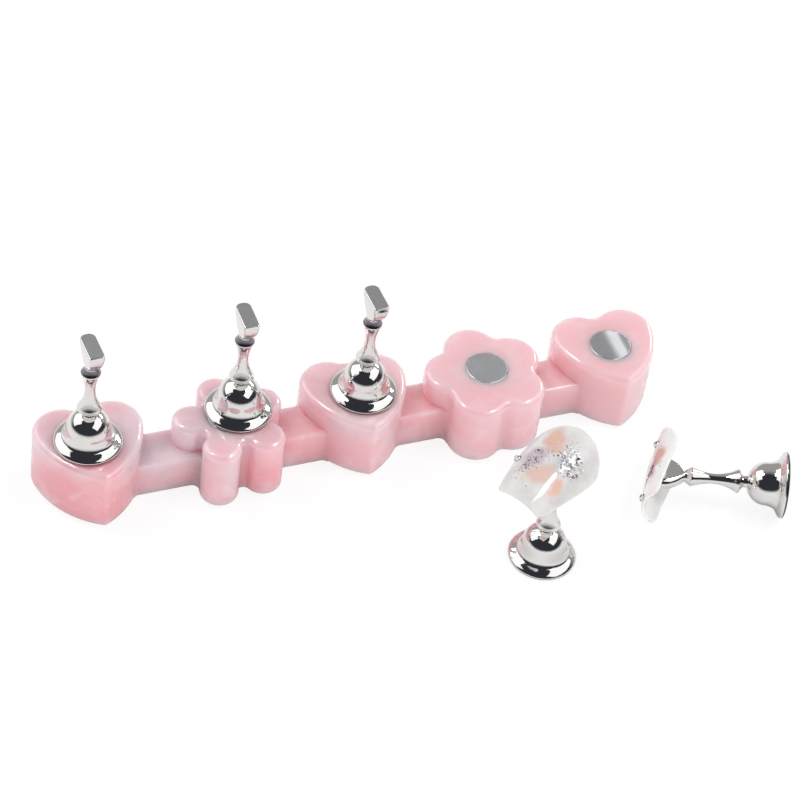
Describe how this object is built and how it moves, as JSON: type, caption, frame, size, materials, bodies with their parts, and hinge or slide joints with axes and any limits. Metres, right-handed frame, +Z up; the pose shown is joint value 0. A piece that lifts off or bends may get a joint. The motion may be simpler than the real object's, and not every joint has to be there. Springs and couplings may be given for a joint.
{
  "type": "nail practice stand",
  "caption": "Cast resin strip of heart and flower pads with steel discs, holding magnetic metal tip holders, some carrying decorated false nails.",
  "frame": {"origin": "centre of the strip's underside, on the table", "axes": "+X along the strip from the first heart to the last, -Y towards the user, where the hearts point and the two loose holders are, +Z up"},
  "size_m": [0.1728, 0.0716, 0.0472],
  "materials": {
    "resin": "glossy cast resin, cloudy lilac pink running into salmon",
    "disc_steel": "satin nickel-plated steel with fine turning marks",
    "chrome_metal": "polished chrome plate over a zinc casting",
    "magnet_plate": "bright nickel-plated magnet",
    "nail_gel": "glossy milky gel with peach and lilac foil shapes",
    "putty": "matt white tack putty",
    "crystal": "faceted crystal with a foiled back"
  },
  "bodies": {
    "base": {"resin_base": "resin", "pad_disc_1": "disc_steel", "pad_disc_2": "disc_steel", "pad_disc_3": "disc_steel", "pad_disc_4": "disc_steel", "pad_disc_5": "disc_steel"},
    "magnet_1": {"holder_magnet_1": "magnet_plate"},
    "holder_1": {"holder_1": "chrome_metal"},
    "magnet_2": {"holder_magnet_2": "magnet_plate"},
    "holder_2": {"holder_2": "chrome_metal"},
    "magnet_3": {"holder_magnet_3": "magnet_plate"},
    "holder_3": {"holder_3": "chrome_metal"},
    "magnet_4": {"holder_magnet_4": "magnet_plate"},
    "holder_4": {"holder_4": "chrome_metal", "putty_4": "putty"},
    "nail_4": {"false_nail_4": "nail_gel", "rhinestone_4a": "crystal", "rhinestone_4b": "crystal"},
    "holder_5": {"holder_5": "chrome_metal", "holder_magnet_5": "magnet_plate", "putty_5": "putty"},
    "nail_5": {"false_nail_5": "nail_gel", "rhinestone_5a": "crystal", "rhinestone_5b": "crystal"}
  },
  "joints": [
    {"name": "holder_1_lift", "type": "slide", "parent": "base", "child": "magnet_1", "axis": [0, 0, 1], "range_m": [0, 0.04]},
    {"name": "holder_1_turn", "type": "hinge", "parent": "magnet_1", "child": "holder_1", "pos_m": [-0.06608, -0.00008, 0.0165], "axis": [0, 0, 1], "continuous": true},
    {"name": "holder_2_lift", "type": "slide", "parent": "base", "child": "magnet_2", "axis": [0, 0, 1], "range_m": [0, 0.04]},
    {"name": "holder_2_turn", "type": "hinge", "parent": "magnet_2", "child": "holder_2", "pos_m": [-0.0296, 0.00128, 0.0165], "axis": [0, 0, 1], "continuous": true},
    {"name": "holder_3_lift", "type": "slide", "parent": "base", "child": "magnet_3", "axis": [0, 0, 1], "range_m": [0, 0.04]},
    {"name": "holder_3_turn", "type": "hinge", "parent": "magnet_3", "child": "holder_3", "pos_m": [0.00088, -0.00016, 0.0165], "axis": [0, 0, 1], "continuous": true},
    {"name": "holder_4_lift", "type": "slide", "parent": "base", "child": "magnet_4", "axis": [0, 0, 1], "range_m": [0, 0.04]},
    {"name": "holder_4_turn", "type": "hinge", "parent": "magnet_4", "child": "holder_4", "pos_m": [0.03075, -0.04593, 0], "axis": [0, 0, 1], "continuous": true},
    {"name": "nail_4_pull", "type": "slide", "parent": "holder_4", "child": "nail_4", "axis": [0, 0, 1], "range_m": [0, 0.015]},
    {"name": "holder_5_lift", "type": "slide", "parent": "base", "child": "holder_5", "axis": [0, 0, 1], "range_m": [0, 0.04]},
    {"name": "nail_5_pull", "type": "slide", "parent": "holder_5", "child": "nail_5", "axis": [-0.919, 0.3929, -0.0333], "range_m": [0, 0.015]}
  ]
}
